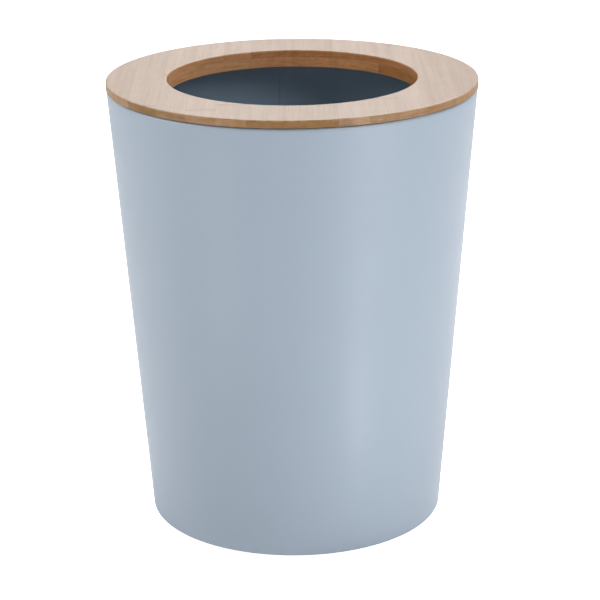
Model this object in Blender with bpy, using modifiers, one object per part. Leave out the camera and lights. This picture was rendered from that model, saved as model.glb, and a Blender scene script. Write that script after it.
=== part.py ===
"""Round bathroom bin: a tapered body of rolled sheet steel and a loose bamboo ring for a lid.

The body is one sheet, lap welded up the back, with its top edge curled inward and its foot folded into a
hem. A pressed base sits in that hem on its own down-turned flange and carries four foot pads. The lid is
two plies of bamboo staves: the upper ply lies on the rim, and the lower one is narrower and keeps the lid
from sliding off.

Metres, +Z up. The origin is on the floor, under the centre of the bin, and the front faces -Y.
"""

import math

import bmesh
import bpy
from mathutils import Matrix, Vector

# Body
RIM_RADIUS = 0.115
BASE_RADIUS = 0.0937
BODY_HEIGHT = 0.2784
SHEET = 0.0006
CURL_RADIUS = 0.0017
CURL_TURN_DEG = 250
HEM_TIP_CLEARANCE = 0.0005

# Weld seam, on the inner face at the back
SEAM_WIDTH = 0.004
SEAM_PROUD = 0.0004
SEAM_END_MARGIN = 0.002
SEAM_DEG_FROM_BACK = 5.5

# Pressed base
BASE_SHEET = 0.0008
BASE_BEND_RADIUS = 0.0016
PANEL_RISE = 0.0015
PANEL_SLOPE_RUN = 0.005

# Foot pads
FOOT_RADIUS = 0.010
FOOT_HEIGHT = 0.006
FOOT_PROJECTION = 0.0008
FOOT_EDGE_RADIUS = 0.0008
FOOT_LAND_MARGIN = 0.003
FOOT_COUNT = 4

# Lid. The webs are what the mouth leaves of the staves beside it.
LID_OVERHANG = 0.0003
RING_WIDTH = 0.0376
UPPER_PLY = 0.0046
LOWER_PLY = 0.0064
LOCATING_CLEARANCE = 0.0015
LID_CHAMFER = 0.0006
UPPER_WEB = 0.002
LOWER_WEB = 0.006
UPPER_MIDDLE_COUNT = 9
UPPER_SIDE_COUNT = 2
LOWER_MIDDLE_COUNT = 6
LOWER_SIDE_COUNT = 1

# Between pieces that touch, and past every cut
SEAT_GAP = 0.0003
CUT_OVERRUN = 0.002
MERGE_DISTANCE = 0.00001

# Facets
TURNED_STEPS = 96
FOOT_STEPS = 24
CURL_POINTS = 9
HEM_POINTS = 5
BEND_POINTS = 4
PANEL_POINTS = 5
FOOT_EDGE_POINTS = 3
SHARP_DEG = 32

# Where the pieces meet
TAPER = math.atan2(RIM_RADIUS - BASE_RADIUS, BODY_HEIGHT)
UP_THE_WALL = Vector((math.sin(TAPER), math.cos(TAPER)))
INTO_THE_BIN = Vector((-math.cos(TAPER), math.sin(TAPER)))
HEM_CHANNEL = BASE_SHEET + 2 * SEAT_GAP
HEM_RADIUS = SHEET + HEM_CHANNEL / 2
BASE_TOP = FOOT_HEIGHT + SEAT_GAP + BASE_SHEET
LID_RADIUS = RIM_RADIUS + LID_OVERHANG
MOUTH_RADIUS = LID_RADIUS - RING_WIDTH
LOCATING_RADIUS = RIM_RADIUS - 2 * CURL_RADIUS - LOCATING_CLEARANCE
LID_SEAT = BODY_HEIGHT + SEAT_GAP

# Colours as linear RGB, then roughness and metallic
COAT = ((0.37, 0.45, 0.52), 0.45, 0.0)
BARE_UNDERSIDE = ((0.33, 0.40, 0.46), 0.55, 0.0)
FOOT_RUBBER = ((0.035, 0.035, 0.037), 0.85, 0.0)
BAMBOO_TONES = (
    ((0.52, 0.33, 0.17), 0.50, 0.0),
    ((0.47, 0.28, 0.13), 0.52, 0.0),
    ((0.56, 0.37, 0.20), 0.48, 0.0),
)


def clear_scene():
    """Remove every object that the file opened with."""
    for old in list(bpy.data.objects):
        bpy.data.objects.remove(old, do_unlink=True)


def new_collection(name):
    """Return a new collection, linked into the scene."""
    collection = bpy.data.collections.new(name)
    bpy.context.scene.collection.children.link(collection)
    return collection


def add_material(piece, finish):
    """Give a piece a material of its own, from a colour, a roughness and a metallic value."""
    colour, roughness, metallic = finish
    material = bpy.data.materials.new(piece.name + "_finish")
    material.use_nodes = True
    surface = material.node_tree.nodes["Principled BSDF"]
    surface.inputs["Base Color"].default_value = (*colour, 1.0)
    surface.inputs["Roughness"].default_value = roughness
    surface.inputs["Metallic"].default_value = metallic
    material.diffuse_color = (*colour, 1.0)
    piece.data.materials.append(material)


def add_object(name, shape, collection):
    """Turn a bmesh into an object in a collection."""
    mesh = bpy.data.meshes.new(name)
    shape.to_mesh(mesh)
    shape.free()
    piece = bpy.data.objects.new(name, mesh)
    collection.objects.link(piece)
    return piece


def hide_as_cutter(piece):
    """Mark an object as a guide that other pieces are cut by."""
    piece.hide_render = True
    piece.display_type = "WIRE"


def apply_modifiers(piece):
    """Replace a piece's mesh by its evaluated one, and shade its round faces smooth."""
    depsgraph = bpy.context.evaluated_depsgraph_get()
    shaped = bpy.data.meshes.new_from_object(piece.evaluated_get(depsgraph))
    piece.modifiers.clear()
    piece.data = shaped
    shaped.name = piece.name
    shaped.shade_smooth()
    shaped.set_sharp_from_angle(angle=math.radians(SHARP_DEG))


def arc(centre, radius, start, end, points):
    """Return points along an arc in the profile plane, from one angle to the other, in radians."""
    angles = [start + (end - start) * step / (points - 1) for step in range(points)]
    return [centre + radius * Vector((math.cos(angle), math.sin(angle))) for angle in angles]


def turned_profile(name, points, collection, steps, closed=False):
    """Turn a profile about the Z axis.

    The profile is a list of (radius, height) pairs that runs down the outer side, top to bottom.
    """
    shape = bmesh.new()
    corners = [shape.verts.new((radius, 0, height)) for radius, height in points]
    for above, below in zip(corners, corners[1:]):
        shape.edges.new((above, below))
    if closed:
        shape.edges.new((corners[-1], corners[0]))
    piece = add_object(name, shape, collection)
    turn = piece.modifiers.new("turn", "SCREW")
    turn.axis = "Z"
    turn.angle = math.tau
    turn.steps = steps
    turn.render_steps = steps
    turn.use_merge_vertices = True
    turn.merge_threshold = MERGE_DISTANCE
    return piece


def thicken(piece, thickness):
    """Give a turned sheet its thickness, on the side away from its outer face."""
    sheet = piece.modifiers.new("sheet", "SOLIDIFY")
    sheet.thickness = thickness
    sheet.offset = -1
    sheet.use_even_offset = True
    sheet.use_quality_normals = True


def wall_at(height):
    """Return the (radius, height) of the body's outer face."""
    return Vector((BASE_RADIUS + height * math.tan(TAPER), height))


def curl_centre():
    """Return the centre of the rim's curl, which the wall runs into without a kink."""
    foot = wall_at(BODY_HEIGHT - CURL_RADIUS * (1 + math.sin(TAPER)))
    return foot + CURL_RADIUS * INTO_THE_BIN


def hem_centre():
    """Return the centre of the fold at the foot of the wall."""
    foot = wall_at(FOOT_PROJECTION + HEM_RADIUS * (1 - math.sin(TAPER)))
    return foot + HEM_RADIUS * INTO_THE_BIN


def add_seam_strip(cutters):
    """Make the lapped edge of the sheet, a flat strip up the inner face at the back."""
    low = wall_at(BASE_TOP + SEAM_END_MARGIN)
    high = wall_at(curl_centre().y - CURL_RADIUS - SEAM_END_MARGIN)
    thickness = SHEET / 2 + SEAM_PROUD
    middle = (low + high) / 2 + (SHEET / 2 + thickness / 2) * INTO_THE_BIN
    shape = bmesh.new()
    bmesh.ops.create_cube(shape, size=1.0)
    bmesh.ops.scale(shape, vec=(thickness, SEAM_WIDTH, (high - low).length), verts=shape.verts)
    strip = add_object("seam_strip", shape, cutters)
    around = Matrix.Rotation(math.radians(90 + SEAM_DEG_FROM_BACK), 4, "Z")
    out = Matrix.Translation((middle.x, 0, middle.y))
    lean = Matrix.Rotation(TAPER, 4, "Y")
    strip.matrix_world = around @ out @ lean
    hide_as_cutter(strip)
    return strip


def add_body_shell(parts, cutters):
    """Roll the body: a curled rim, a tapered wall, a folded hem and a lapped seam."""
    turn = math.radians(CURL_TURN_DEG)
    curl = arc(curl_centre(), CURL_RADIUS, turn - TAPER, -TAPER, CURL_POINTS)
    hem = arc(hem_centre(), HEM_RADIUS, -TAPER, -TAPER - math.pi, HEM_POINTS)
    hem_height = (base_bend_centre().y - hem_centre().y) / math.cos(TAPER) - HEM_TIP_CLEARANCE
    hem_tip = hem[-1] + hem_height * UP_THE_WALL
    shell = turned_profile("body_shell", curl + hem + [hem_tip], parts, TURNED_STEPS)
    thicken(shell, SHEET)
    weld = shell.modifiers.new("weld", "BOOLEAN")
    weld.operation = "UNION"
    weld.object = add_seam_strip(cutters)
    apply_modifiers(shell)
    add_material(shell, COAT)
    return shell


def base_bend_centre():
    """Return the centre of the bend where the base turns down into its flange."""
    height = BASE_TOP - BASE_BEND_RADIUS
    inset = (SHEET + SEAT_GAP + BASE_BEND_RADIUS) / math.cos(TAPER)
    return Vector((wall_at(height).x - inset, height))


def foot_land():
    """Return the inner and outer radius of the flat ring that the foot pads are stuck to."""
    outer = base_bend_centre().x
    return outer - 2 * (FOOT_RADIUS + FOOT_LAND_MARGIN), outer


def add_base_pan(parts):
    """Press the base: a raised panel, a flat ring for the feet, and a flange that stands in the hem."""
    land_inner, _ = foot_land()
    panel_radius = land_inner - PANEL_SLOPE_RUN
    panel = [Vector((0, BASE_TOP + PANEL_RISE))]
    for step in range(PANEL_POINTS):
        share = step / (PANEL_POINTS - 1)
        drop_share = (1 + math.cos(math.pi * share)) / 2
        panel.append(Vector((panel_radius + share * PANEL_SLOPE_RUN, BASE_TOP + drop_share * PANEL_RISE)))
    bend = arc(base_bend_centre(), BASE_BEND_RADIUS, math.pi / 2, -TAPER, BEND_POINTS)
    flange_tip = hem_centre() - BASE_SHEET / 2 * INTO_THE_BIN
    pan = turned_profile("base_pan", panel + bend + [flange_tip], parts, TURNED_STEPS)
    thicken(pan, BASE_SHEET)
    apply_modifiers(pan)
    add_material(pan, BARE_UNDERSIDE)
    return pan


def add_foot_pads(parts):
    """Turn the foot pads, and set them on the flat ring under the base."""
    land_inner, land_outer = foot_land()
    edge = arc(
        Vector((FOOT_RADIUS - FOOT_EDGE_RADIUS, FOOT_EDGE_RADIUS)),
        FOOT_EDGE_RADIUS,
        0,
        -math.pi / 2,
        FOOT_EDGE_POINTS,
    )
    profile = [Vector((0, FOOT_HEIGHT)), Vector((FOOT_RADIUS, FOOT_HEIGHT)), *edge, Vector((0, 0))]
    pads = []
    for index in range(FOOT_COUNT):
        angle = math.tau * (index + 0.5) / FOOT_COUNT
        pad = turned_profile(f"foot_pad_{index + 1}", profile, parts, FOOT_STEPS)
        apply_modifiers(pad)
        reach = (land_inner + land_outer) / 2
        pad.location = (reach * math.cos(angle), reach * math.sin(angle), 0)
        add_material(pad, FOOT_RUBBER)
        pads.append(pad)
    return pads


def ply_blank(name, radius, bottom, top, top_chamfer, bottom_chamfer, cutters):
    """Turn the ring that a ply's staves are cut to.

    Each chamfer is taken off both edges of its face, the outer one and the one round the mouth.
    """
    profile = [
        (MOUTH_RADIUS + top_chamfer, top),
        (radius - top_chamfer, top),
        (radius, top - top_chamfer),
        (radius, bottom + bottom_chamfer),
        (radius - bottom_chamfer, bottom),
        (MOUTH_RADIUS + bottom_chamfer, bottom),
        (MOUTH_RADIUS, bottom + bottom_chamfer),
        (MOUTH_RADIUS, top - top_chamfer),
    ]
    distinct = [point for index, point in enumerate(profile) if point != profile[index - 1]]
    blank = turned_profile(name, distinct, cutters, TURNED_STEPS, closed=True)
    apply_modifiers(blank)
    hide_as_cutter(blank)
    return blank


def stave_joints(radius, web, middle_count, side_count):
    """Return the x of each edge of a ply's staves, from left to right.

    The middle staves share the width of the mouth and a web each side of it, and the outer two of them pass
    the mouth on that web. The side staves share the rest, out to the ply's edge.
    """
    reach = MOUTH_RADIUS + web
    middle_width = 2 * reach / middle_count
    side_width = (radius - reach) / side_count
    left = [-radius + index * side_width for index in range(side_count)]
    middle = [-reach + index * middle_width for index in range(middle_count + 1)]
    right = [reach + (index + 1) * side_width for index in range(side_count)]
    return left + middle + right


def stave_boards(radius, web, middle_count, side_count):
    """Return each board as its stave's number, its end's name and its low and high (x, y) corners.

    The mouth parts every stave that lies between the two on the web into a front and a back board.
    """
    joints = stave_joints(radius, web, middle_count, side_count)
    reach = radius + CUT_OVERRUN
    half_gap = SEAT_GAP / 2
    boards = []
    for index, (left, right) in enumerate(zip(joints, joints[1:])):
        low_x = left - CUT_OVERRUN if index == 0 else left + half_gap
        high_x = right + CUT_OVERRUN if right == joints[-1] else right - half_gap
        if side_count < index < side_count + middle_count - 1:
            boards.append((index + 1, "_front", (low_x, -reach), (high_x, 0)))
            boards.append((index + 1, "_back", (low_x, 0), (high_x, reach)))
        else:
            boards.append((index + 1, "", (low_x, -reach), (high_x, reach)))
    return boards


def add_ply(prefix, boards, bottom, top, blank, hanger, parts):
    """Saw one ply's staves out of boards: each is the part of its board that lies in the turned ring."""
    staves = []
    middle_height = (bottom + top) / 2
    for number, end, low, high in boards:
        shape = bmesh.new()
        bmesh.ops.create_cube(shape, size=1.0)
        size = (high[0] - low[0], high[1] - low[1], top - bottom + 2 * CUT_OVERRUN)
        bmesh.ops.scale(shape, vec=size, verts=shape.verts)
        stave = add_object(f"{prefix}_{number:02d}{end}", shape, parts)
        centre = Vector(((low[0] + high[0]) / 2, (low[1] + high[1]) / 2, middle_height))
        stave.parent = hanger
        stave.location = centre - hanger.location
        turning = stave.modifiers.new("turning", "BOOLEAN")
        turning.operation = "INTERSECT"
        turning.object = blank
        add_material(stave, BAMBOO_TONES[number % len(BAMBOO_TONES)])
        staves.append(stave)
    bpy.context.view_layer.update()
    for stave in staves:
        apply_modifiers(stave)
    return staves


def add_lid(parts, cutters):
    """Lay up the lid: an upper ply on the rim, and a lower ply that hangs inside the curl."""
    hanger = bpy.data.objects.new("lid", None)
    hanger.location = (0, 0, LID_SEAT)
    parts.objects.link(hanger)
    lid_top = LID_SEAT + UPPER_PLY
    upper_blank = ply_blank("upper_blank", LID_RADIUS, LID_SEAT, lid_top, LID_CHAMFER, 0, cutters)
    upper_boards = stave_boards(LID_RADIUS, UPPER_WEB, UPPER_MIDDLE_COUNT, UPPER_SIDE_COUNT)
    add_ply("upper_stave", upper_boards, LID_SEAT, lid_top, upper_blank, hanger, parts)
    lower_top = LID_SEAT - SEAT_GAP
    lower_bottom = lower_top - LOWER_PLY
    lower_blank = ply_blank("lower_blank", LOCATING_RADIUS, lower_bottom, lower_top, 0, LID_CHAMFER, cutters)
    lower_boards = stave_boards(LOCATING_RADIUS, LOWER_WEB, LOWER_MIDDLE_COUNT, LOWER_SIDE_COUNT)
    add_ply("lower_stave", lower_boards, lower_bottom, lower_top, lower_blank, hanger, parts)


def main():
    """Build the bin."""
    clear_scene()
    parts = new_collection("bathroom_bin")
    cutters = new_collection("cutters")
    stand = bpy.data.objects.new("bin", None)
    parts.objects.link(stand)
    fixed = [add_body_shell(parts, cutters), add_base_pan(parts), *add_foot_pads(parts)]
    for piece in fixed:
        piece.parent = stand
    add_lid(parts, cutters)


main()
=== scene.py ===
"""The looks of a round bathroom bin: a powder-coated steel body and a laminated bamboo ring for a lid.

Metres, +Z up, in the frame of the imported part. The front faces -Y.
"""

import logging
import math
import random
from dataclasses import dataclass
from enum import Enum
from typing import Self

import bmesh
import bpy
from mathutils import Matrix, Vector


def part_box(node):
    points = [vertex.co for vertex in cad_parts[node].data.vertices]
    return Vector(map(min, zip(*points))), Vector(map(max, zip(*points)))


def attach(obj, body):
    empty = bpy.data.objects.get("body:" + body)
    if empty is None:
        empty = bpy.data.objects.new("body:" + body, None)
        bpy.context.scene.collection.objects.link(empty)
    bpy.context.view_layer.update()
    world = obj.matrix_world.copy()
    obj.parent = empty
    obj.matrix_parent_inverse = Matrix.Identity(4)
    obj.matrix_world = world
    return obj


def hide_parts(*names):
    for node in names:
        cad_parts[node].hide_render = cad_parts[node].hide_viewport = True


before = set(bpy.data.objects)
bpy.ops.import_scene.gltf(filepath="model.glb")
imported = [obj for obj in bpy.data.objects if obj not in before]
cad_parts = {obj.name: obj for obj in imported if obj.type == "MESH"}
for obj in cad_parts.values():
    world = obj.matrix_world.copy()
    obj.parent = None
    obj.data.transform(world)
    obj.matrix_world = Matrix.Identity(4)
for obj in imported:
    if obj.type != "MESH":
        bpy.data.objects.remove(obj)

LOG = logging.getLogger("bathroom_bin")
MERGE_DISTANCE = 0.000001
HALF = 0.5
WELD_TURN_DEG = 4.4
WELD_WIDTH = 0.0026
WHITE = (1.0, 1.0, 1.0, 1.0)
# A texture's W, which has no effect in three dimensions.
TEXTURE_W = 0.0
# A Mix node's colour sockets come after its number and vector ones.
MIX_FIRST, MIX_SECOND, MIX_RESULT = 6, 7, 2

Colour = tuple[float, float, float]
Span = tuple[float, float]
Size = tuple[float, float, float]
Shape = bmesh.types.BMesh
Material = bpy.types.Material
Socket = bpy.types.NodeSocket
Tree = bpy.types.NodeTree


class Rides(Enum):
    """The bodies that a piece can move with."""

    BIN = "bin"
    LID = "lid"


class Slot(Enum):
    """The record's material slots."""

    POWDER_COAT = "powder_coat"
    BAMBOO = "bamboo"
    FOOT_RUBBER = "foot_rubber"


class Ply(Enum):
    """The two layers of the lid, by the first words of their staves' names."""

    UPPER = "upper_stave"
    LOWER = "lower_stave"


@dataclass(frozen=True)
class OutlinePoint:
    """A point of a turned outline, and how far its edge is exposed to wear, from 0 to 1."""

    radius: float
    height: float
    wear: float = 0.0


Outline = list[OutlinePoint]


def packed_nodes(start: str) -> list[str]:
    """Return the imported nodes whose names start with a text, in order."""
    return sorted(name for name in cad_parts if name.startswith(start))


def arc(centre: Vector, radius: float, start: float, end: float, points: int) -> list[Vector]:
    """Return points along an arc in the plane of an outline, with both its ends. Angles are in radians."""
    angles = [start + (end - start) * step / (points - 1) for step in range(points)]
    return [centre + radius * Vector((math.cos(angle), math.sin(angle))) for angle in angles]


def outline(points: list[Vector], wear: float = 0.0) -> Outline:
    """Make a stretch of outline out of points given as radius and height, all with the same wear."""
    return [OutlinePoint(point.x, point.y, wear) for point in points]


def turned(points: Outline, steps: int, closed: bool) -> Shape:
    """Turn an outline about the Z axis.

    Args:
        points: The outline. An open one starts and ends on the axis.
        steps: How many facets go round.
        closed: Whether the last point joins the first one.

    Returns:
        The turned solid, with its faces pointing out.
    """
    shape = bmesh.new()
    wear = shape.verts.layers.float.new("wear")
    corners = []
    for point in points:
        corner = shape.verts.new((point.radius, 0, point.height))
        corner[wear] = point.wear
        corners.append(corner)
    edges = [shape.edges.new(pair) for pair in zip(corners, corners[1:])]
    if closed:
        edges.append(shape.edges.new((corners[-1], corners[0])))
    sweep = {"cent": (0, 0, 0), "axis": (0, 0, 1), "angle": math.tau, "steps": steps}
    bmesh.ops.spin(shape, geom=corners + edges, use_merge=True, **sweep)
    bmesh.ops.remove_doubles(shape, verts=shape.verts, dist=MERGE_DISTANCE)
    bmesh.ops.recalc_face_normals(shape, faces=shape.faces)
    return shape


def add_piece(name: str, shape: Shape, material: Material, sharp_deg: float = 35) -> bpy.types.Object:
    """Make a finished shape into an object of the scene.

    Args:
        name: The piece's name.
        shape: Its mesh, which is freed.
        material: Its finish.
        sharp_deg: The angle past which an edge is shaded sharp, in degrees.

    Returns:
        The new object, at the origin.
    """
    mesh = bpy.data.meshes.new(name)
    shape.to_mesh(mesh)
    shape.free()
    mesh.shade_smooth()
    mesh.set_sharp_from_angle(angle=math.radians(sharp_deg))
    mesh.materials.append(material)
    piece = bpy.data.objects.new(name, mesh)
    bpy.context.scene.collection.objects.link(piece)
    return piece


def seat(piece: bpy.types.Object, body: Rides, slot: Slot, *nodes: str) -> None:
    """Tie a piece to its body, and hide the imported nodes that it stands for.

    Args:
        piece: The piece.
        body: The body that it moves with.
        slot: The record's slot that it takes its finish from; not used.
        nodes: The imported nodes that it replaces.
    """
    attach(piece, body.value)
    if nodes:
        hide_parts(*nodes)
    LOG.info("%s: %d faces", piece.name, len(piece.data.polygons))


class Wiring:
    """Adds nodes to one node tree and joins them up."""

    def __init__(self, tree: Tree) -> None:
        """Start with a tree, which may hold nodes already."""
        self.tree = tree

    def feed(self, socket: Socket, value: object) -> None:
        """Link an input to a socket, or set it to a plain value.

        Args:
            socket: The input.
            value: The socket or the value.
        """
        if isinstance(value, bpy.types.NodeSocket):
            self.tree.links.new(value, socket)
        else:
            socket.default_value = value

    def add(self, kind: str, *values: object, **settings: object) -> bpy.types.Node:
        """Add a node.

        Args:
            kind: Its type, without the ShaderNode in front.
            values: What its first inputs take, each a socket or a plain value.
            settings: Its properties.

        Returns:
            The node.
        """
        node = self.tree.nodes.new("ShaderNode" + kind)
        for key, value in settings.items():
            setattr(node, key, value)
        for socket, value in zip(node.inputs, values):
            self.feed(socket, value)
        return node

    def calculate(self, operation: str, *values: object) -> Socket:
        """Return the result of a Math node."""
        return self.add("Math", *values, operation=operation).outputs[0]

    def times(self, first: object, second: object) -> Socket:
        """Return a product of two numbers."""
        return self.calculate("MULTIPLY", first, second)

    def plus(self, base: object, more: object, share: object = 1.0) -> Socket:
        """Return a number with a share of another one added to it."""
        return self.calculate("MULTIPLY_ADD", more, share, base)

    def combine(self, operation: str, *values: object) -> Socket:
        """Return the result of a Vector Math node that gives a vector."""
        return self.add("VectorMath", *values, operation=operation).outputs[0]

    def axes(self, vector: Socket) -> bpy.types.NodeOutputs:
        """Return the parts of a vector, by the names X, Y and Z."""
        return self.add("SeparateXYZ", vector).outputs

    def noise(self, place: Socket, scale: object = 1.0, detail: float = 2, roughness: float = 0.5) -> Socket:
        """Return noise around 0.5. Detail counts its finer layers, and roughness is their strength."""
        return self.add("TexNoise", place, TEXTURE_W, scale, detail, roughness).outputs[0]

    def remap(self, value: object, ends: Span, new_ends: Span = (0.0, 1.0)) -> Socket:
        """Map a value smoothly from one pair of ends to another, and clamp it there."""
        return self.add("MapRange", value, *ends, *new_ends, interpolation_type="SMOOTHSTEP").outputs[0]

    def blend(self, share: object, first: object, second: object, mode: str = "MIX") -> Socket:
        """Blend two colours.

        Args:
            share: How much of the second one there is.
            first: A colour or a colour socket.
            second: A colour or a colour socket.
            mode: The blend mode.

        Returns:
            The blended colour.
        """
        node = self.add("Mix", share, data_type="RGBA", blend_type=mode)
        for index, colour in ((MIX_FIRST, first), (MIX_SECOND, second)):
            self.feed(node.inputs[index], (*colour, 1.0) if isinstance(colour, tuple) else colour)
        return node.outputs[MIX_RESULT]

    def effect(self, group: Tree, place: Socket, scale: float, amount: float) -> Socket:
        """Return a shared effect that is read at a place, on a scale, in an amount."""
        return self.add("Group", place, scale, amount, node_tree=group).outputs[0]

    def place(self) -> Socket:
        """Return the piece's own coordinates, in metres."""
        return self.add("TexCoord").outputs["Object"]

    def sized(self, place: Socket, size: Size) -> Socket:
        """Return a place scaled so that a pattern of scale 1 takes this size along X, Y and Z."""
        return self.combine("MULTIPLY", place, tuple(1 / length for length in size))

    def normal(self) -> Socket:
        """Return the way that the surface faces."""
        return self.add("NewGeometry").outputs["Normal"]

    def facing(self, axis: str, ends: Span) -> Socket:
        """Return how far the surface faces along an axis, either way, mapped from a pair of ends."""
        return self.remap(self.calculate("ABSOLUTE", self.axes(self.normal())[axis]), ends)

    def attribute(self, name: str, output: str = "Fac") -> Socket:
        """Return an attribute of the mesh, as one of the Attribute node's outputs."""
        return self.add("Attribute", attribute_name=name).outputs[output]


class EffectWiring(Wiring):
    """The wiring of a shared effect, which makes a number out of a place, a scale and an amount."""

    def __init__(self, name: str) -> None:
        """Start an effect with its sockets.

        Args:
            name: The effect's name.
        """
        super().__init__(bpy.data.node_groups.new(name, "ShaderNodeTree"))
        for label, kind in (("Place", "Vector"), ("Scale", "Float"), ("Amount", "Float")):
            self.tree.interface.new_socket(name=label, in_out="INPUT", socket_type="NodeSocket" + kind)
        self.tree.interface.new_socket(name="Value", in_out="OUTPUT", socket_type="NodeSocketFloat")
        given = self.tree.nodes.new("NodeGroupInput").outputs
        self.spot, self.scale, self.amount = given["Place"], given["Scale"], given["Amount"]

    def give(self, value: Socket) -> Tree:
        """Finish the effect with its value in an amount of 1, and return its group."""
        self.feed(self.tree.nodes.new("NodeGroupOutput").inputs[0], self.times(value, self.amount))
        return self.tree

    def give_patches(self, value: Socket, ends: Span, patches: Span, **noise: float) -> Tree:
        """Finish the effect with a value mapped from its ends, broken up into patches of noise."""
        broken = self.remap(self.noise(self.spot, self.scale, **noise), patches)
        return self.give(self.times(self.remap(value, ends), broken))


@dataclass
class Effects:
    """The effects that several finishes share, each a node group that is built once."""

    fine_ratio: float = 11.0
    broad_share: float = 0.6
    mottle_gain: float = 4.0
    worn_from: Span = (0.25, 1.0)
    worn_patches: Span = (0.38, 0.66)
    dusty_slope: Span = (0.2, 0.95)
    dust_patches: Span = (0.45, 0.75)

    def __post_init__(self) -> None:
        """Build every effect."""
        self.mottle = self.build_mottle()
        self.wear = self.build_wear()
        self.dust = self.build_dust()

    def build_mottle(self) -> Tree:
        """Build uneven tone at two scales.

        Returns:
            A group that gives a value around 0, up to the amount each way.
        """
        wiring = EffectWiring("mottle")
        broad = wiring.noise(wiring.spot, wiring.scale, detail=3)
        fine = wiring.noise(wiring.spot, wiring.times(wiring.scale, self.fine_ratio))
        both = wiring.plus(wiring.times(broad, self.broad_share), fine, 1 - self.broad_share)
        return wiring.give(wiring.times(wiring.plus(-HALF, both), self.mottle_gain))

    def build_wear(self) -> Tree:
        """Build edge wear.

        Returns:
            A group that gives the mesh's wear, broken up along the edge.
        """
        wiring = EffectWiring("edge_wear")
        exposed = wiring.attribute("wear")
        return wiring.give_patches(exposed, self.worn_from, self.worn_patches, detail=5, roughness=0.65)

    def build_dust(self) -> Tree:
        """Build settled dust.

        Returns:
            A group that gives patches on the faces that look up.
        """
        wiring = EffectWiring("dust")
        upward = wiring.axes(wiring.normal())["Z"]
        return wiring.give_patches(upward, self.dusty_slope, self.dust_patches, detail=6, roughness=0.7)


class MaterialWiring(Wiring):
    """The wiring of a material round its surface shader."""

    def __init__(self, name: str) -> None:
        """Start a material.

        Args:
            name: The material's name.
        """
        self.material = bpy.data.materials.new(name)
        self.material.use_nodes = True
        super().__init__(self.material.node_tree)
        self.surface = self.tree.nodes["Principled BSDF"]

    def set(self, label: str, value: object) -> None:
        """Link or set an input of the surface shader."""
        self.feed(self.surface.inputs[label], value)

    def relief(self, height: Socket, depth: float) -> None:
        """Give the surface a relief.

        Args:
            height: Its height, as a share of its depth.
            depth: Its depth, in metres.
        """
        bump = self.add("Bump")
        self.feed(bump.inputs["Distance"], depth)
        self.feed(bump.inputs["Height"], height)
        self.set("Normal", bump.outputs[0])


@dataclass(frozen=True)
class PowderCoat:
    """Satin powder coat on sheet steel, with painted shade on the faces inside the bin and a painted shade
    line along the weld.
    """

    colour: Colour = (0.313, 0.372, 0.444)
    inside_painted_shade_tint: Colour = (0.87, 0.99, 1.03)
    worn_colour: Colour = (0.46, 0.51, 0.55)
    dust_colour: Colour = (0.56, 0.55, 0.53)
    tone_ends: Span = (0.5, 1.5)
    tone_size: float = 0.045
    tone_spread: float = 0.012
    roughness: float = 0.37
    roughness_size: float = 0.018
    roughness_spread: float = 0.035
    dust_roughness: float = 0.35
    worn_roughness: float = -0.08
    peel_size: float = 0.0011
    peel_depth: float = 0.0000035
    wear_scale: float = 260
    wear_share: float = 0.35
    dust_scale: float = 90
    dust_share: float = 0.10
    weld_line_painted_shade: float = 0.22
    painted_shade_facing: Span = (0.0, -0.3)

    def ground_weld(self, wiring: Wiring, place: Socket) -> Socket:
        """Mask the painted shade line along the ground weld up the back, outside and inside, where it lies
        along the lap's edge as a painted shadow.

        Args:
            wiring: The material's wiring.
            place: The piece's coordinates.

        Returns:
            A mask, 1 in the middle of the line.
        """
        axes = wiring.axes(place)
        turn = math.radians(WELD_TURN_DEG)
        across = wiring.plus(wiring.times(axes["X"], math.cos(turn)), axes["Y"], math.sin(turn))
        line = wiring.remap(wiring.calculate("ABSOLUTE", across), (WELD_WIDTH / 2, 0.0))
        return wiring.times(line, wiring.calculate("GREATER_THAN", axes["Y"], 0.0))

    def material(self, effects: Effects, shaded_weld_line: bool) -> Material:
        """Mix the finish.

        Args:
            effects: The shared effects.
            shaded_weld_line: Whether the piece gets the painted shade line along the weld up its back.

        Returns:
            The material.
        """
        wiring = MaterialWiring("powder_coat_weld_shaded" if shaded_weld_line else "powder_coat")
        place = wiring.place()
        mottle = wiring.effect(effects.mottle, place, 1 / self.tone_size, self.tone_spread)
        dark, light = (tuple(channel * end for channel in self.colour) for end in self.tone_ends)
        even = wiring.blend(wiring.plus(HALF, mottle), dark, light)
        # Painted shade: the faces that look into the bin are tinted cooler, with less red, for the shade
        # inside it.
        outward = wiring.combine("NORMALIZE", wiring.combine("MULTIPLY", place, (1.0, 1.0, 0.0)))
        facing = wiring.add("VectorMath", outward, wiring.normal(), operation="DOT_PRODUCT")
        inside = wiring.remap(facing.outputs["Value"], self.painted_shade_facing)
        toned = wiring.blend(inside, even, self.inside_painted_shade_tint, mode="MULTIPLY")
        # Painted shade: a dark line along the weld, faint up the back's outside and, inside, a painted
        # shadow along the lap's edge.
        if shaded_weld_line:
            weld = wiring.times(self.ground_weld(wiring, place), self.weld_line_painted_shade)
            toned = wiring.blend(weld, toned, dark)
        wear = wiring.effect(effects.wear, place, self.wear_scale, self.wear_share)
        worn = wiring.blend(wear, toned, self.worn_colour)
        dust = wiring.effect(effects.dust, place, self.dust_scale, self.dust_share)
        wiring.set("Base Color", wiring.blend(dust, worn, self.dust_colour))
        uneven = wiring.effect(effects.mottle, place, 1 / self.roughness_size, self.roughness_spread)
        dulled = wiring.plus(wiring.plus(self.roughness, uneven), dust, self.dust_roughness)
        wiring.set("Roughness", wiring.plus(dulled, wear, self.worn_roughness))
        wiring.relief(wiring.noise(place, 1 / self.peel_size, roughness=0.45), self.peel_depth)
        return wiring.material


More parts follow.
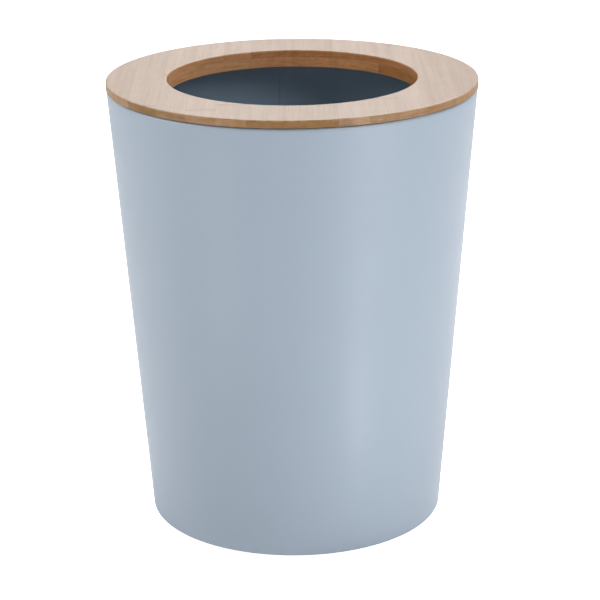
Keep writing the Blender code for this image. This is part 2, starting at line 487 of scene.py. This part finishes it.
@dataclass(frozen=True)
class LacqueredBamboo:
    """Carbonised bamboo strips under a thin satin lacquer, with their fibres along Y."""

    pale: Colour = (0.400, 0.268, 0.176)
    deep: Colour = (0.209, 0.100, 0.018)
    bundle: Colour = (0.120, 0.050, 0.016)
    knuckle: Colour = (0.170, 0.080, 0.030)
    pink: Colour = (1.03, 0.98, 1.00)
    green: Colour = (0.985, 1.00, 0.96)
    wall_gain: Colour = (1.06, 1.03, 0.86)
    mouth_amber_and_light_gain: Colour = (1.37, 1.04, 0.80)
    worn_colour: Colour = (0.52, 0.37, 0.25)
    dust_colour: Colour = (0.55, 0.50, 0.44)
    end_facing: Span = (0.25, 0.95)
    wall_facing: Span = (0.9, 0.3)
    fibre_size: Size = (0.0005, 0.060, 0.0005)
    band_size: Size = (0.0045, 0.250, 0.0045)
    grain_contrast: float = 1.15
    bundle_size: Size = (0.0010, 0.045, 0.0010)
    bundle_edge: Span = (0.36, 0.12)
    bundle_shares: Span = (0.24, 0.40)
    layer_size: Size = (0.018, 0.050, 0.0009)
    layer_edge: Span = (0.50, 0.68)
    layer_share: float = 0.40
    knuckle_pitch: float = 0.260
    knuckle_half_width: float = 0.0014
    knuckle_shade_width: float = 0.0045
    knuckle_share: float = 0.24
    sway_size: Size = (0.006, 0.2, 0.006)
    sway: float = 0.004
    roughness: float = 0.44
    roughness_scale: float = 70
    roughness_spread: float = 0.05
    fibre_roughness: float = 0.12
    wall_roughness: float = 0.12
    lacquer: float = 0.60
    lacquer_roughness: float = 0.20
    wall_lacquer: float = 0.30
    worn_lacquer: float = -0.5
    fibre_depth: float = 0.000010
    pore_height: float = -0.5
    ridge_height: float = 0.8
    wear_scale: float = 240
    wear_share: float = 0.30
    dust_scale: float = 120
    dust_share: float = 0.05

    def knuckles(self, wiring: Wiring, place: Socket) -> tuple[Socket, Socket]:
        """Make the joints of the culm: bands across a strip, at a pitch that few strips show twice.

        Args:
            wiring: The material's wiring.
            place: The shifted place, in metres.

        Returns:
            A mask for the thin ridge, and one for the shade on both sides of it.
        """
        wavy = wiring.noise(wiring.sized(place, self.sway_size))
        swayed = wiring.plus(wiring.axes(place)["Y"], wavy, self.sway)
        turns = wiring.calculate("FRACT", wiring.times(swayed, 1 / self.knuckle_pitch))
        off = wiring.calculate("ABSOLUTE", wiring.plus(-HALF, turns))
        ridge = wiring.remap(off, (self.knuckle_half_width / self.knuckle_pitch, 0.0))
        shade = wiring.remap(off, (self.knuckle_shade_width / self.knuckle_pitch, 0.0))
        return ridge, shade

    def wood(self, wiring: Wiring, fibres: Socket, shifted: Socket, walls: Socket) -> Socket:
        """Mix the colour of the wood, with each strip's own tone, and painted light on the mouth's walls.

        Args:
            wiring: The material's wiring.
            fibres: The fibres' noise.
            shifted: The shifted place, in metres.
            walls: The mask of the upright walls.

        Returns:
            The colour.
        """
        bands = wiring.noise(wiring.sized(shifted, self.band_size), detail=3, roughness=0.55)
        grain = wiring.times(wiring.plus(fibres, bands), HALF)
        swing = wiring.times(wiring.plus(-HALF, grain), self.grain_contrast)
        face_tone = wiring.attribute("face_tone")
        darker_walls = wiring.calculate("SUBTRACT", wiring.attribute("wall_tone"), face_tone)
        tone = wiring.plus(wiring.plus(face_tone, walls, darker_walls), swing)
        plain = wiring.blend(wiring.remap(tone, (0.0, 1.0)), self.deep, self.pale)
        tint = wiring.blend(wiring.attribute("strip_tint"), self.green, self.pink)
        tinted = wiring.blend(1.0, plain, tint, mode="MULTIPLY")
        sawn = wiring.blend(walls, tinted, self.wall_gain, mode="MULTIPLY")
        # The mouth's walls are made warmer and brighter: partly the lacquer pooled there, partly painted
        # light for the light bouncing round the mouth.
        mouth_lacquer_and_lit = wiring.times(wiring.attribute("mouth_lacquer_and_light"), walls)
        return wiring.blend(mouth_lacquer_and_lit, sawn, self.mouth_amber_and_light_gain, mode="MULTIPLY")

    def material(self, effects: Effects) -> Material:
        """Mix the finish.

        Args:
            effects: The shared effects.

        Returns:
            The material.
        """
        wiring = MaterialWiring("lacquered_bamboo")
        place = wiring.place()
        shifted = wiring.combine("ADD", place, wiring.attribute("strip_shift", "Vector"))
        ends = wiring.facing("Y", self.end_facing)
        walls = wiring.facing("Z", self.wall_facing)
        fibres = wiring.noise(wiring.sized(shifted, self.fibre_size), detail=4, roughness=0.62)
        wood = self.wood(wiring, fibres, shifted, walls)

        cells = wiring.add("TexVoronoi", wiring.sized(shifted, self.bundle_size), TEXTURE_W, 1.0)
        bundles = wiring.remap(cells.outputs["Distance"], self.bundle_edge)
        bundle_share = wiring.times(bundles, wiring.remap(ends, (0.0, 1.0), self.bundle_shares))
        fibred = wiring.blend(bundle_share, wood, self.bundle)
        uneven_layers = wiring.noise(wiring.sized(shifted, self.layer_size), detail=3, roughness=0.55)
        layers = wiring.times(wiring.remap(uneven_layers, self.layer_edge), walls)
        layered = wiring.blend(wiring.times(layers, self.layer_share), fibred, self.bundle)

        ridge, shade = self.knuckles(wiring, shifted)
        knuckle = wiring.times(wiring.plus(ridge, shade), self.knuckle_share)
        jointed = wiring.blend(knuckle, layered, self.knuckle)
        wear = wiring.effect(effects.wear, place, self.wear_scale, self.wear_share)
        worn = wiring.blend(wear, jointed, self.worn_colour)
        dust = wiring.effect(effects.dust, place, self.dust_scale, self.dust_share)
        wiring.set("Base Color", wiring.blend(dust, worn, self.dust_colour))

        uneven = wiring.effect(effects.mottle, shifted, self.roughness_scale, self.roughness_spread)
        along = wiring.plus(wiring.plus(self.roughness, uneven), fibres, self.fibre_roughness)
        wiring.set("Roughness", wiring.plus(along, walls, self.wall_roughness))
        wiring.set("Coat Roughness", self.lacquer_roughness)
        thinned = wiring.plus(self.lacquer, walls, self.wall_lacquer - self.lacquer)
        wiring.set("Coat Weight", wiring.plus(thinned, wear, self.worn_lacquer))
        pores = wiring.plus(fibres, bundles, self.pore_height)
        wiring.relief(wiring.plus(pores, ridge, self.ridge_height), self.fibre_depth)
        return wiring.material


@dataclass(frozen=True)
class FootRubber:
    """Dark moulded rubber."""

    colour: Colour = (0.030, 0.030, 0.032)
    worn_colour: Colour = (0.085, 0.083, 0.080)
    least_worn: float = 0.1
    roughness: float = 0.72
    mottle_scale: float = 180
    mottle_spread: float = 0.08
    grain_size: float = 0.0005
    grain_depth: float = 0.00002
    wear_scale: float = 700
    wear_share: float = 0.7

    def material(self, effects: Effects) -> Material:
        """Mix the finish.

        Args:
            effects: The shared effects.

        Returns:
            The material.
        """
        wiring = MaterialWiring("foot_rubber")
        place = wiring.place()
        mottle = wiring.effect(effects.mottle, place, self.mottle_scale, self.mottle_spread)
        wear = wiring.effect(effects.wear, place, self.wear_scale, self.wear_share)
        toned = wiring.blend(wiring.plus(self.least_worn, mottle), self.colour, self.worn_colour)
        wiring.set("Base Color", wiring.blend(wear, toned, self.worn_colour))
        wiring.set("Roughness", wiring.plus(self.roughness, mottle))
        wiring.relief(wiring.noise(place, 1 / self.grain_size, detail=3), self.grain_depth)
        return wiring.material


@dataclass(frozen=True)
class WallStrip:
    """A thin strip up the wall, bedded in the sheet, at a turn to the left of the back.

    Left and right are as seen from the front.
    """

    name: str
    turn_deg: float
    width: float
    bed: float
    proud: float
    left_slope: float
    right_slope: float
    edge_radius: float
    inside: bool
    edge_segments: int = 3
    sharp_deg: float = 20


@dataclass
class SteelBody:
    """The rolled body, with its curled rim, folded hem and lapped seam, and the pressed base in its foot."""

    height: float
    hem_bottom: float
    base_top: float
    rim_radius: float = 0.115
    base_radius: float = 0.0937
    sheet: float = 0.0006
    curl_radius: float = 0.0019
    curl_turn_deg: float = 250
    hem_tip_clearance: float = 0.0005
    base_sheet: float = 0.0008
    base_bend_radius: float = 0.0016
    panel_rise: float = 0.0015
    panel_slope_run: float = 0.005
    foot_land: float = 0.026
    seat_gap: float = 0.0003
    rim_drop: float = 0.0003
    lap: WallStrip = WallStrip(
        "weld_seam", 2.9, 0.0060, 0.00010, 0.00030, 0.0, 0.0050, 0.00015, inside=True
    )
    bead: WallStrip = WallStrip(
        "ground_weld", WELD_TURN_DEG, WELD_WIDTH, 0.00003, 0.00007, 0.0010, 0.0010, 0.0002, inside=False
    )
    strip_end_margin: float = 0.002
    wear_reach: float = 0.004
    steps: int = 288
    curl_points: int = 28
    hem_points: int = 14
    bend_points: int = 10
    panel_points: int = 13
    end_points: int = 5

    @classmethod
    def from_frame(cls) -> Self:
        """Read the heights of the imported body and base."""
        low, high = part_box("body_shell")
        return cls(high.z - cls.rim_drop, low.z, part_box("base_pan")[1].z - cls.panel_rise)

    @property
    def taper(self) -> float:
        """The lean of the wall from upright, in radians."""
        return math.atan2(self.rim_radius - self.base_radius, self.height)

    @property
    def up_the_wall(self) -> Vector:
        """The direction up the wall, as radius and height."""
        return Vector((math.sin(self.taper), math.cos(self.taper)))

    @property
    def into_the_bin(self) -> Vector:
        """The direction square to the wall, to the inside, as radius and height."""
        return Vector((-math.cos(self.taper), math.sin(self.taper)))

    @property
    def hem_radius(self) -> float:
        """The outer radius of the fold that holds the base's flange."""
        return self.sheet + self.seat_gap + self.base_sheet / 2

    @property
    def curl_centre(self) -> Vector:
        """The centre of the rim's curl, as radius and height."""
        foot = self.wall_at(self.height - self.curl_radius * (1 + math.sin(self.taper)))
        return foot + self.curl_radius * self.into_the_bin

    @property
    def hem_centre(self) -> Vector:
        """The centre of the fold at the foot, as radius and height."""
        foot = self.wall_at(self.hem_bottom + self.hem_radius * (1 - math.sin(self.taper)))
        return foot + self.hem_radius * self.into_the_bin

    @property
    def bend_centre(self) -> Vector:
        """The centre of the bend round the base, as radius and height."""
        inset = (self.sheet + self.seat_gap + self.base_bend_radius) / math.cos(self.taper)
        return self.wall_at(self.base_top - self.base_bend_radius) - Vector((inset, 0))

    def wall_at(self, height: float) -> Vector:
        """Return the point of the wall's outer face at a height."""
        return Vector((self.base_radius + height * math.tan(self.taper), height))

    def sheet_end(self, outer: Vector, inner: Vector, outward: Vector) -> list[Vector]:
        """Round a cut end of a sheet.

        Args:
            outer: Where the outer face ends.
            inner: Where the inner face ends.
            outward: The direction in which the sheet ends.

        Returns:
            The points between the two, round a half circle.
        """
        middle = (outer + inner) / 2
        reach = (outer - inner).length / 2
        side = (outer - middle).normalized()
        angles = [math.pi * step / (self.end_points + 1) for step in range(1, self.end_points + 1)]
        return [middle + reach * (math.cos(angle) * side + math.sin(angle) * outward) for angle in angles]

    def worn_bend(self, points: list[Vector], middle: float, reach: float) -> Outline:
        """Return a bend that is worn most a reach above its middle, or below it if the reach is negative."""
        return [OutlinePoint(point.x, point.y, max(0.0, (point.y - middle) / reach)) for point in points]

    def shell_outline(self) -> Outline:
        """Draw the section of the sheet.

        Returns:
            The section: out round the curl, down the wall, round the hem and back inside.
        """
        turn = math.radians(self.curl_turn_deg)
        taper = self.taper
        up = self.up_the_wall
        hem_height = (self.bend_centre.y - self.hem_centre.y) / math.cos(taper) - self.hem_tip_clearance
        faces = []
        for inset in (0.0, self.sheet):
            curl = arc(self.curl_centre, self.curl_radius - inset, turn - taper, -taper, self.curl_points)
            hem = arc(self.hem_centre, self.hem_radius - inset, -taper, -taper - math.pi, self.hem_points)
            tip = hem[-1] + hem_height * up
            below_curl = curl[-1] - self.wear_reach * up
            above_hem = hem[0] + self.wear_reach * up
            faces.append((curl, [below_curl, above_hem], [*hem, tip]))
        (curl, wall, hem), (inner_curl, inner_wall, inner_hem) = faces
        worn_curl = self.worn_bend(curl, self.curl_centre.y, self.curl_radius)
        worn_hem = self.worn_bend(hem, self.hem_centre.y, -self.hem_radius)
        hem_end = self.sheet_end(hem[-1], inner_hem[-1], up)
        backward = (inner_curl[0] - self.curl_centre).orthogonal().normalized()
        curl_end = self.sheet_end(inner_curl[0], curl[0], backward)
        inside = [*reversed(inner_hem), *reversed(inner_wall), *reversed(inner_curl)]
        return worn_curl + outline(wall) + worn_hem + outline(hem_end + inside + curl_end)

    def pan_outline(self) -> Outline:
        """Draw the section of the base.

        Returns:
            The section: the raised panel, the flat ring and the flange, and back below.
        """
        centre = self.bend_centre
        panel_edge = centre.x - self.foot_land
        top = [Vector((0, self.base_top + self.panel_rise))]
        for step in range(self.panel_points):
            share = step / (self.panel_points - 1)
            lift_share = (1 + math.cos(math.pi * share)) / 2
            radius = panel_edge - (1 - share) * self.panel_slope_run
            top.append(Vector((radius, self.base_top + lift_share * self.panel_rise)))
        below = [point - Vector((0, self.base_sheet)) for point in top]
        bend, inner_bend = (
            arc(centre, self.base_bend_radius - inset, math.pi / 2, -self.taper, self.bend_points)
            for inset in (0.0, self.base_sheet)
        )
        drop = (centre.y - self.hem_centre.y) / math.cos(self.taper) * self.up_the_wall
        outer_foot = bend[-1] - drop
        inner_foot = inner_bend[-1] - drop
        end = self.sheet_end(outer_foot, inner_foot, Vector((0, -1)))
        outside = [*top, *bend, outer_foot]
        inside = [inner_foot, *reversed(inner_bend), *reversed(below)]
        return outline(outside + end + inside)

    def build_shell(self, material: Material) -> None:
        """Roll the body in its finish."""
        shell = add_piece("steel_body", turned(self.shell_outline(), self.steps, closed=True), material)
        seat(shell, Rides.BIN, Slot.POWDER_COAT, "body_shell")

    def build_base(self, material: Material) -> None:
        """Press the base in its finish."""
        pan = add_piece("pressed_base", turned(self.pan_outline(), self.steps, closed=False), material)
        seat(pan, Rides.BIN, Slot.POWDER_COAT, "base_pan")

    def lay_strip(self, strip: WallStrip, material: Material) -> None:
        """Lay a strip up the inner or the outer face of the wall.

        Args:
            strip: Its sizes and place.
            material: Its finish.
        """
        foot = self.base_top if strip.inside else self.hem_centre.y
        brow = self.curl_centre.y - (self.curl_radius if strip.inside else 0)
        low = self.wall_at(foot + self.strip_end_margin)
        high = self.wall_at(brow - self.strip_end_margin)
        thickness = strip.bed + strip.proud
        bottom = self.sheet - strip.bed if strip.inside else strip.bed
        free_side = -1 if strip.inside else 1
        middle = (low + high) / 2 + (bottom - free_side * thickness / 2) * self.into_the_bin
        shape = bmesh.new()
        shape.verts.layers.float.new("wear")
        bmesh.ops.create_cube(shape, size=1.0)
        bmesh.ops.scale(shape, vec=(thickness, strip.width, (high - low).length), verts=shape.verts)
        free = [vert for vert in shape.verts if vert.co.x * free_side > 0]
        left, right = ([vert for vert in free if vert.co.y * way > 0] for way in (1, -1))
        bmesh.ops.translate(shape, vec=(0, -strip.left_slope, 0), verts=left)
        bmesh.ops.translate(shape, vec=(0, strip.right_slope, 0), verts=right)
        long_edges = [edge for edge in shape.edges if set(edge.verts) in (set(left), set(right))]
        rounding = {"offset": strip.edge_radius, "segments": strip.edge_segments, "profile": 0.5}
        bmesh.ops.bevel(shape, geom=long_edges, affect="EDGES", material=-1, **rounding)
        around = Matrix.Rotation(math.pi / 2 + math.radians(strip.turn_deg), 4, "Z")
        out = Matrix.Translation((middle.x, 0, middle.y))
        lean = Matrix.Rotation(self.taper, 4, "Y")
        bmesh.ops.transform(shape, matrix=around @ out @ lean, verts=shape.verts)
        piece = add_piece(strip.name, shape, material, strip.sharp_deg)
        seat(piece, Rides.BIN, Slot.POWDER_COAT)


@dataclass
class FootPads:
    """The rubber pads under the base."""

    nodes: list[str]
    ceiling: float
    edge_radius: float = 0.0008
    steps: int = 64
    edge_points: int = 6

    @classmethod
    def from_frame(cls) -> Self:
        """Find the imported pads, and the underside of the base that they are stuck to."""
        nodes = packed_nodes("foot_pad")
        return cls(nodes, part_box(nodes[0])[1].z + SteelBody.seat_gap)

    def pad_outline(self, radius: float) -> Outline:
        """Draw the half section of a pad.

        Args:
            radius: The pad's radius.

        Returns:
            The section, from the middle of the top down to the floor.
        """
        rounding = self.edge_radius
        centre = Vector((radius - rounding, rounding))
        edge = arc(centre, rounding, 0, -math.pi / 2, self.edge_points)
        top = [OutlinePoint(0, self.ceiling), OutlinePoint(radius, self.ceiling)]
        side = [OutlinePoint(radius, 2 * rounding)]
        under = [OutlinePoint(radius - 2 * rounding, 0), OutlinePoint(0, 0)]
        return top + side + outline(edge, wear=1.0) + under

    def build(self, material: Material) -> None:
        """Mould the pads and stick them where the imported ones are.

        Args:
            material: Their finish.
        """
        for number, node in enumerate(self.nodes, start=1):
            low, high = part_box(node)
            shape = turned(self.pad_outline((high.x - low.x) / 2), self.steps, closed=False)
            place = Matrix.Translation(((low.x + high.x) / 2, (low.y + high.y) / 2, 0))
            bmesh.ops.transform(shape, matrix=place, verts=shape.verts)
            pad = add_piece(f"rubber_foot_{number}", shape, material)
            seat(pad, Rides.BIN, Slot.FOOT_RUBBER, node)


@dataclass(frozen=True)
class StripTones:
    """How pale each strip of a ply is, from the left, with 0 for the deepest and 1 for the palest."""

    face: tuple[float, ...]
    front_wall: tuple[float, ...]
    # The back-wall tones were matched to the walls as lit, so their fall from left to right along the mouth
    # is partly painted shade.
    back_wall_with_painted_light: tuple[float, ...]


@dataclass
class BambooPly:
    """One layer of the lid: strips that run front to back, glued up and turned to a ring.

    Its exposed side is 1 if that is its top face, and -1 if it is its underside.
    """

    ply: Ply
    radius: float
    mouth_radius: float
    bottom: float
    top: float
    exposed_side: int
    tones: StripTones
    seed: int
    edge_rounding: float = 0.0006
    glued_rounding: float = 0.0001
    glue_line: float = 0.00002
    packed_gap: float = 0.0003
    wear_reach: float = 0.0006
    shift_reach: float = 3.0
    steps: int = 384
    rounding_points: int = 6

    def rounding(self, up: int) -> float:
        """Return the rounding along the top face's edges for 1, or along the underside's for -1."""
        return self.edge_rounding if up == self.exposed_side else self.glued_rounding

    def corner(self, out: int, up: int) -> Outline:
        """Round one corner of the ring's section.

        Args:
            out: 1 at the ring's outer edge, -1 round the mouth.
            up: 1 on the top face, -1 on the underside.

        Returns:
            The rounded corner with an unworn point either side, from the wall to the face if out times up is
            positive, and from the face to the wall if it is negative.
        """
        rounding = self.rounding(up)
        radius = self.radius if out > 0 else self.mouth_radius
        height = self.top if up > 0 else self.bottom
        centre = Vector((radius - out * rounding, height - up * rounding))
        from_wall = 0.0 if out > 0 else math.pi
        to_face = from_wall + out * up * math.pi / 2
        wall = centre + Vector((out * rounding, -up * self.wear_reach))
        face = centre + Vector((-out * self.wear_reach, up * rounding))
        rounded = arc(centre, rounding, from_wall, to_face, self.rounding_points)
        wear = 1.0 if up == self.exposed_side else 0.0
        worn = outline([wall]) + outline(rounded, wear) + outline([face])
        return worn if out * up > 0 else list(reversed(worn))

    def ring_outline(self) -> Outline:
        """Draw the section of the ring, once round."""
        order = ((1, 1), (-1, 1), (-1, -1), (1, -1))
        return [point for out, up in order for point in self.corner(out, up)]

    def saw(self, blank: Shape, node: str) -> Shape:
        """Saw one strip out of the ring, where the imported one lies.

        Args:
            blank: The whole ring, which is kept.
            node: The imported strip.

        Returns:
            The strip, closed where it was sawn.
        """
        low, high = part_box(node)
        widened = (self.packed_gap - self.glue_line) / 2
        cuts = (
            (low.x > -self.radius + self.packed_gap, low.x - widened, (-1, 0, 0)),
            (high.x < self.radius - self.packed_gap, high.x + widened, (1, 0, 0)),
            (high.y < 0, 0, (0, 1, 0)),
            (low.y > 0, 0, (0, -1, 0)),
        )
        strip = blank.copy()
        for x, away in ((x, away) for wanted, x, away in cuts if wanted):
            parts = [*strip.verts, *strip.edges, *strip.faces]
            bmesh.ops.bisect_plane(strip, geom=parts, plane_co=(x, 0, 0), plane_no=away, clear_outer=True)
        sawn = [edge for edge in strip.edges if edge.is_boundary]
        bmesh.ops.holes_fill(strip, edges=sawn, sides=0)
        bmesh.ops.recalc_face_normals(strip, faces=strip.faces)
        return strip

    def dress(self, strip: Shape, number: int, draw: random.Random) -> None:
        """Write on a strip's vertices its tones, the mask of the mouth's walls, which get pooled lacquer and
        painted light, and its own grain.

        Args:
            strip: The strip.
            number: The strip's number from the left, starting at 1.
            draw: The ply's random numbers.
        """
        layers = strip.verts.layers
        names = ("face_tone", "wall_tone", "strip_tint", "mouth_lacquer_and_light")
        face_layer, wall_layer, tint_layer, mouth_light_layer = (layers.float.new(name) for name in names)
        shift_layer = layers.float_vector.new("strip_shift")
        shift = Vector([draw.uniform(-self.shift_reach, self.shift_reach) for _ in range(3)])
        tint = draw.random()
        front = self.tones.front_wall[number - 1]
        # The back wall's tone carries painted shade as well as the strip's own tone.
        back = self.tones.back_wall_with_painted_light[number - 1]
        mouth_light_radius = self.mouth_radius + self.rounding(1)
        for vert in strip.verts:
            to_back = min(1.0, max(0.0, HALF + vert.co.y / self.radius))
            vert[face_layer] = self.tones.face[number - 1]
            vert[wall_layer] = front + (back - front) * to_back
            vert[tint_layer] = tint
            vert[mouth_light_layer] = 1.0 if vert.co.xy.length < mouth_light_radius else 0.0
            vert[shift_layer] = shift

    def build(self, material: Material) -> None:
        """Turn the ring and saw it into its strips.

        Args:
            material: Their finish.
        """
        blank = turned(self.ring_outline(), self.steps, closed=True)
        draw = random.Random(self.seed)
        for node in packed_nodes(self.ply.value):
            number = int(node[len(self.ply.value) + 1 :].split("_")[0])
            strip = self.saw(blank, node)
            self.dress(strip, number, draw)
            piece = add_piece("bamboo_" + node.replace("stave", "strip"), strip, material)
            seat(piece, Rides.LID, Slot.BAMBOO, node)
        blank.free()


@dataclass
class BambooLid:
    """The lid: the upper ply that lies on the rim, and the lower one that hangs inside it."""

    ring_width: float = 0.0376
    upper_seed: int = 13
    lower_seed: int = 8
    upper_tones: StripTones = StripTones(
        face=(0.56, 0.62, 0.68, 0.75, 0.64, 0.62, 0.57, 0.53, 0.67, 0.63, 0.62, 0.50, 0.40),
        front_wall=(0.50, 0.14, 0.34, 0.44, 0.46, 0.22, 0.24, 0.16, 0.56, 0.32, 0.42, 0.32, 0.42),
        back_wall_with_painted_light=(0.60, 0.60, 0.78, 0.70, 0.66, 0.44, 0.27, 0.31, 0.32, 0.22, 0.36, 0.40, 0.40),
    )
    lower_tones: StripTones = StripTones(
        face=(0.56, 0.60, 0.54, 0.46, 0.50, 0.60, 0.44, 0.54),
        front_wall=(0.40, 0.36, 0.44, 0.40, 0.30, 0.40, 0.36, 0.44),
        back_wall_with_painted_light=(0.66, 0.86, 0.92, 0.64, 0.54, 0.48, 0.12, 0.40),
    )

    def plies(self) -> list[BambooPly]:
        """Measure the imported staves.

        Returns:
            The two plies that stand for them.
        """
        boxes = {ply: [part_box(node) for node in packed_nodes(ply.value)] for ply in Ply}
        radius, lower_radius = (max(high.x for _, high in found) for found in boxes.values())
        mouth = radius - self.ring_width
        low, high = (corner.z for corner in boxes[Ply.UPPER][0])
        hung = boxes[Ply.LOWER][0][0].z
        glued = low - BambooPly.glue_line
        return [
            BambooPly(Ply.UPPER, radius, mouth, low, high, 1, self.upper_tones, self.upper_seed),
            BambooPly(Ply.LOWER, lower_radius, mouth, hung, glued, -1, self.lower_tones, self.lower_seed),
        ]

    def build(self, material: Material) -> None:
        """Make both plies in their finish."""
        for ply in self.plies():
            ply.build(material)


def add_area_light(name: str, width: float, length: float, power: float) -> bpy.types.Object:
    """Add a rectangular light that the camera doesn't see.

    Args:
        name: The light's name.
        width: Its size along X.
        length: Its size along Y.
        power: Its power, in watts.

    Returns:
        The light's object, at the origin and facing down.
    """
    lamp = bpy.data.lights.new(name, "AREA")
    lamp.shape = "RECTANGLE"
    lamp.size = width
    lamp.size_y = length
    lamp.energy = power
    stand = bpy.data.objects.new(name, lamp)
    stand.visible_camera = False
    bpy.context.scene.collection.objects.link(stand)
    return stand


@dataclass(frozen=True)
class Softbox:
    """A studio light that faces the bin. Azimuth 0 is at the camera, and 90 is to its right."""

    name: str
    azimuth_deg: float
    height: float
    distance: float
    width: float
    tall: float
    power: float

    def build(self, target: Vector) -> None:
        """Hang the light.

        Args:
            target: The point that it faces.
        """
        stand = add_area_light(self.name, self.width, self.tall, self.power)
        azimuth = math.radians(self.azimuth_deg)
        stand.location = (self.distance * math.sin(azimuth), -self.distance * math.cos(azimuth), self.height)
        stand.rotation_euler = (target - stand.location).to_track_quat("-Z", "Y").to_euler()


@dataclass(frozen=True)
class FloorCard:
    """A lit card that lies on the floor and shows in the leaning wall as a soft upright band.

    It lies along a line that leads away from the bin at an azimuth, from near to far, and a little aside.
    """

    name: str
    azimuth_deg: float
    aside: float
    near: float
    far: float
    width: float
    power: float
    lift: float = 0.002

    def build(self) -> None:
        """Lay the card face up."""
        stand = add_area_light(self.name, self.width, self.far - self.near, self.power)
        azimuth = math.radians(self.azimuth_deg)
        middle = Vector((self.aside, -(self.near + self.far) / 2, self.lift))
        stand.location = Matrix.Rotation(azimuth, 4, "Z") @ middle
        stand.rotation_euler = (math.pi, 0, azimuth)


@dataclass
class Studio:
    """The camera, the floor and the light."""

    focal_length: float = 127.6
    sensor_width: float = 36
    distance: float = 1.3641
    elevation_deg: float = 18.519
    yaw_deg: float = 0.158
    pitch_deg: float = 18.612
    roll_deg: float = -0.562
    aim_height: float = 0.1392
    floor_half_width: float = 6.0
    floor_colour: Colour = (0.86, 0.86, 0.86)
    floor_roughness: float = 0.9
    floor_glow: float = 0.22
    floor_glow_in_view: float = 1.0
    horizon_rise: Span = (0.31, 0.21)
    sky_and_horizon: Span = (0.083, 1.055)
    lights: tuple[Softbox, ...] = (
        Softbox("strip_right", 48, 0.18, 0.80, 0.40, 0.34, 1.16),
        Softbox("front_right", 42, 0.85, 0.90, 0.35, 0.50, 3.73),
        Softbox("front_left", -40, 0.85, 0.90, 0.35, 0.50, 0.52),
        Softbox("middle_left", -65, 0.85, 0.90, 0.35, 0.50, 1.80),
        Softbox("side_left", -90, 1.00, 1.00, 0.60, 0.60, 6.62),
        Softbox("back_right", 135, 1.00, 1.00, 0.60, 0.60, 8.95),
        Softbox("back", 180, 1.00, 1.00, 0.60, 0.60, 5.38),
    )
    cards: tuple[FloorCard, ...] = (
        FloorCard("card_right", 47, -0.042, 0.20, 0.60, 0.05, 0.22),
        FloorCard("card_left", -49, 0.043, 0.36, 0.95, 0.12, 0.42),
    )

    def build_camera(self) -> None:
        """Set up the camera at the photograph's angle."""
        yaw, pitch, roll = map(math.radians, (self.yaw_deg, self.pitch_deg, self.roll_deg))
        camera = bpy.data.cameras.new("camera")
        camera.lens = self.focal_length
        camera.sensor_width = self.sensor_width
        stand = bpy.data.objects.new("camera", camera)
        bpy.context.scene.collection.objects.link(stand)
        rise = Matrix.Rotation(-math.radians(self.elevation_deg), 4, "X")
        stand.location = rise @ Vector((0, -self.distance, 0)) + Vector((0, 0, self.aim_height))
        look = Matrix.Rotation(-yaw, 4, "Z") @ Matrix.Rotation(math.pi / 2 - pitch, 4, "X")
        stand.rotation_euler = (look @ Matrix.Rotation(roll, 4, "Z")).to_euler()
        bpy.context.scene.camera = stand

    def build_floor(self) -> None:
        """Lay a plain pale floor, which glows and can't be seen from below."""
        shape = bmesh.new()
        bmesh.ops.create_grid(shape, x_segments=1, y_segments=1, size=self.floor_half_width)
        wiring = MaterialWiring("studio_floor")
        wiring.set("Base Color", (*self.floor_colour, 1.0))
        wiring.set("Roughness", self.floor_roughness)
        wiring.set("Emission Color", WHITE)
        in_view = wiring.add("LightPath").outputs["Is Camera Ray"]
        glow = wiring.plus(self.floor_glow, in_view, self.floor_glow_in_view - self.floor_glow)
        wiring.set("Emission Strength", glow)
        from_below = wiring.add("NewGeometry").outputs["Backfacing"]
        unseen = wiring.add("BsdfTransparent").outputs[0]
        one_sided = wiring.add("MixShader", from_below, wiring.surface.outputs[0], unseen)
        wiring.feed(wiring.tree.nodes["Material Output"].inputs["Surface"], one_sided.outputs[0])
        add_piece("studio_floor", shape, wiring.material)

    def build_sky(self) -> None:
        """Surround the bin with a bright horizon under a dim sky, and with white in the camera's view."""
        world = bpy.data.worlds.new("studio")
        world.use_nodes = True
        bpy.context.scene.world = world
        wiring = Wiring(world.node_tree)
        height = wiring.axes(wiring.add("TexCoord").outputs["Generated"])["Z"]
        soft = wiring.remap(height, self.horizon_rise, self.sky_and_horizon)
        in_view = wiring.add("LightPath").outputs["Is Camera Ray"]
        background = world.node_tree.nodes["Background"]
        background.inputs["Color"].default_value = WHITE
        wiring.feed(background.inputs["Strength"], wiring.calculate("MAXIMUM", soft, in_view))

    def build(self) -> None:
        """Set up the whole studio."""
        self.build_camera()
        self.build_floor()
        self.build_sky()
        for light in self.lights:
            light.build(Vector((0, 0, self.aim_height)))
        for card in self.cards:
            card.build()
        bpy.context.scene.view_settings.view_transform = "Standard"


def corners(box: tuple[Vector, Vector]) -> list[list[float]]:
    """Return a box's corners as plain lists."""
    return [list(corner) for corner in box]


def main() -> None:
    """Build the bin's looks and the studio round it."""
    logging.basicConfig(level=logging.INFO, format="%(name)s: %(message)s")
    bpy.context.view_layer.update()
    effects = Effects()
    coat = PowderCoat()
    body = SteelBody.from_frame()
    coat_with_painted_weld_shade = coat.material(effects, shaded_weld_line=True)
    plain_coat = coat.material(effects, shaded_weld_line=False)
    body.build_shell(coat_with_painted_weld_shade)
    body.lay_strip(body.bead, coat_with_painted_weld_shade)
    body.lay_strip(body.lap, plain_coat)
    body.build_base(plain_coat)
    FootPads.from_frame().build(FootRubber().material(effects))
    BambooLid().build(LacqueredBamboo().material(effects))
    Studio().build()


if __name__ == "__main__":
    main()
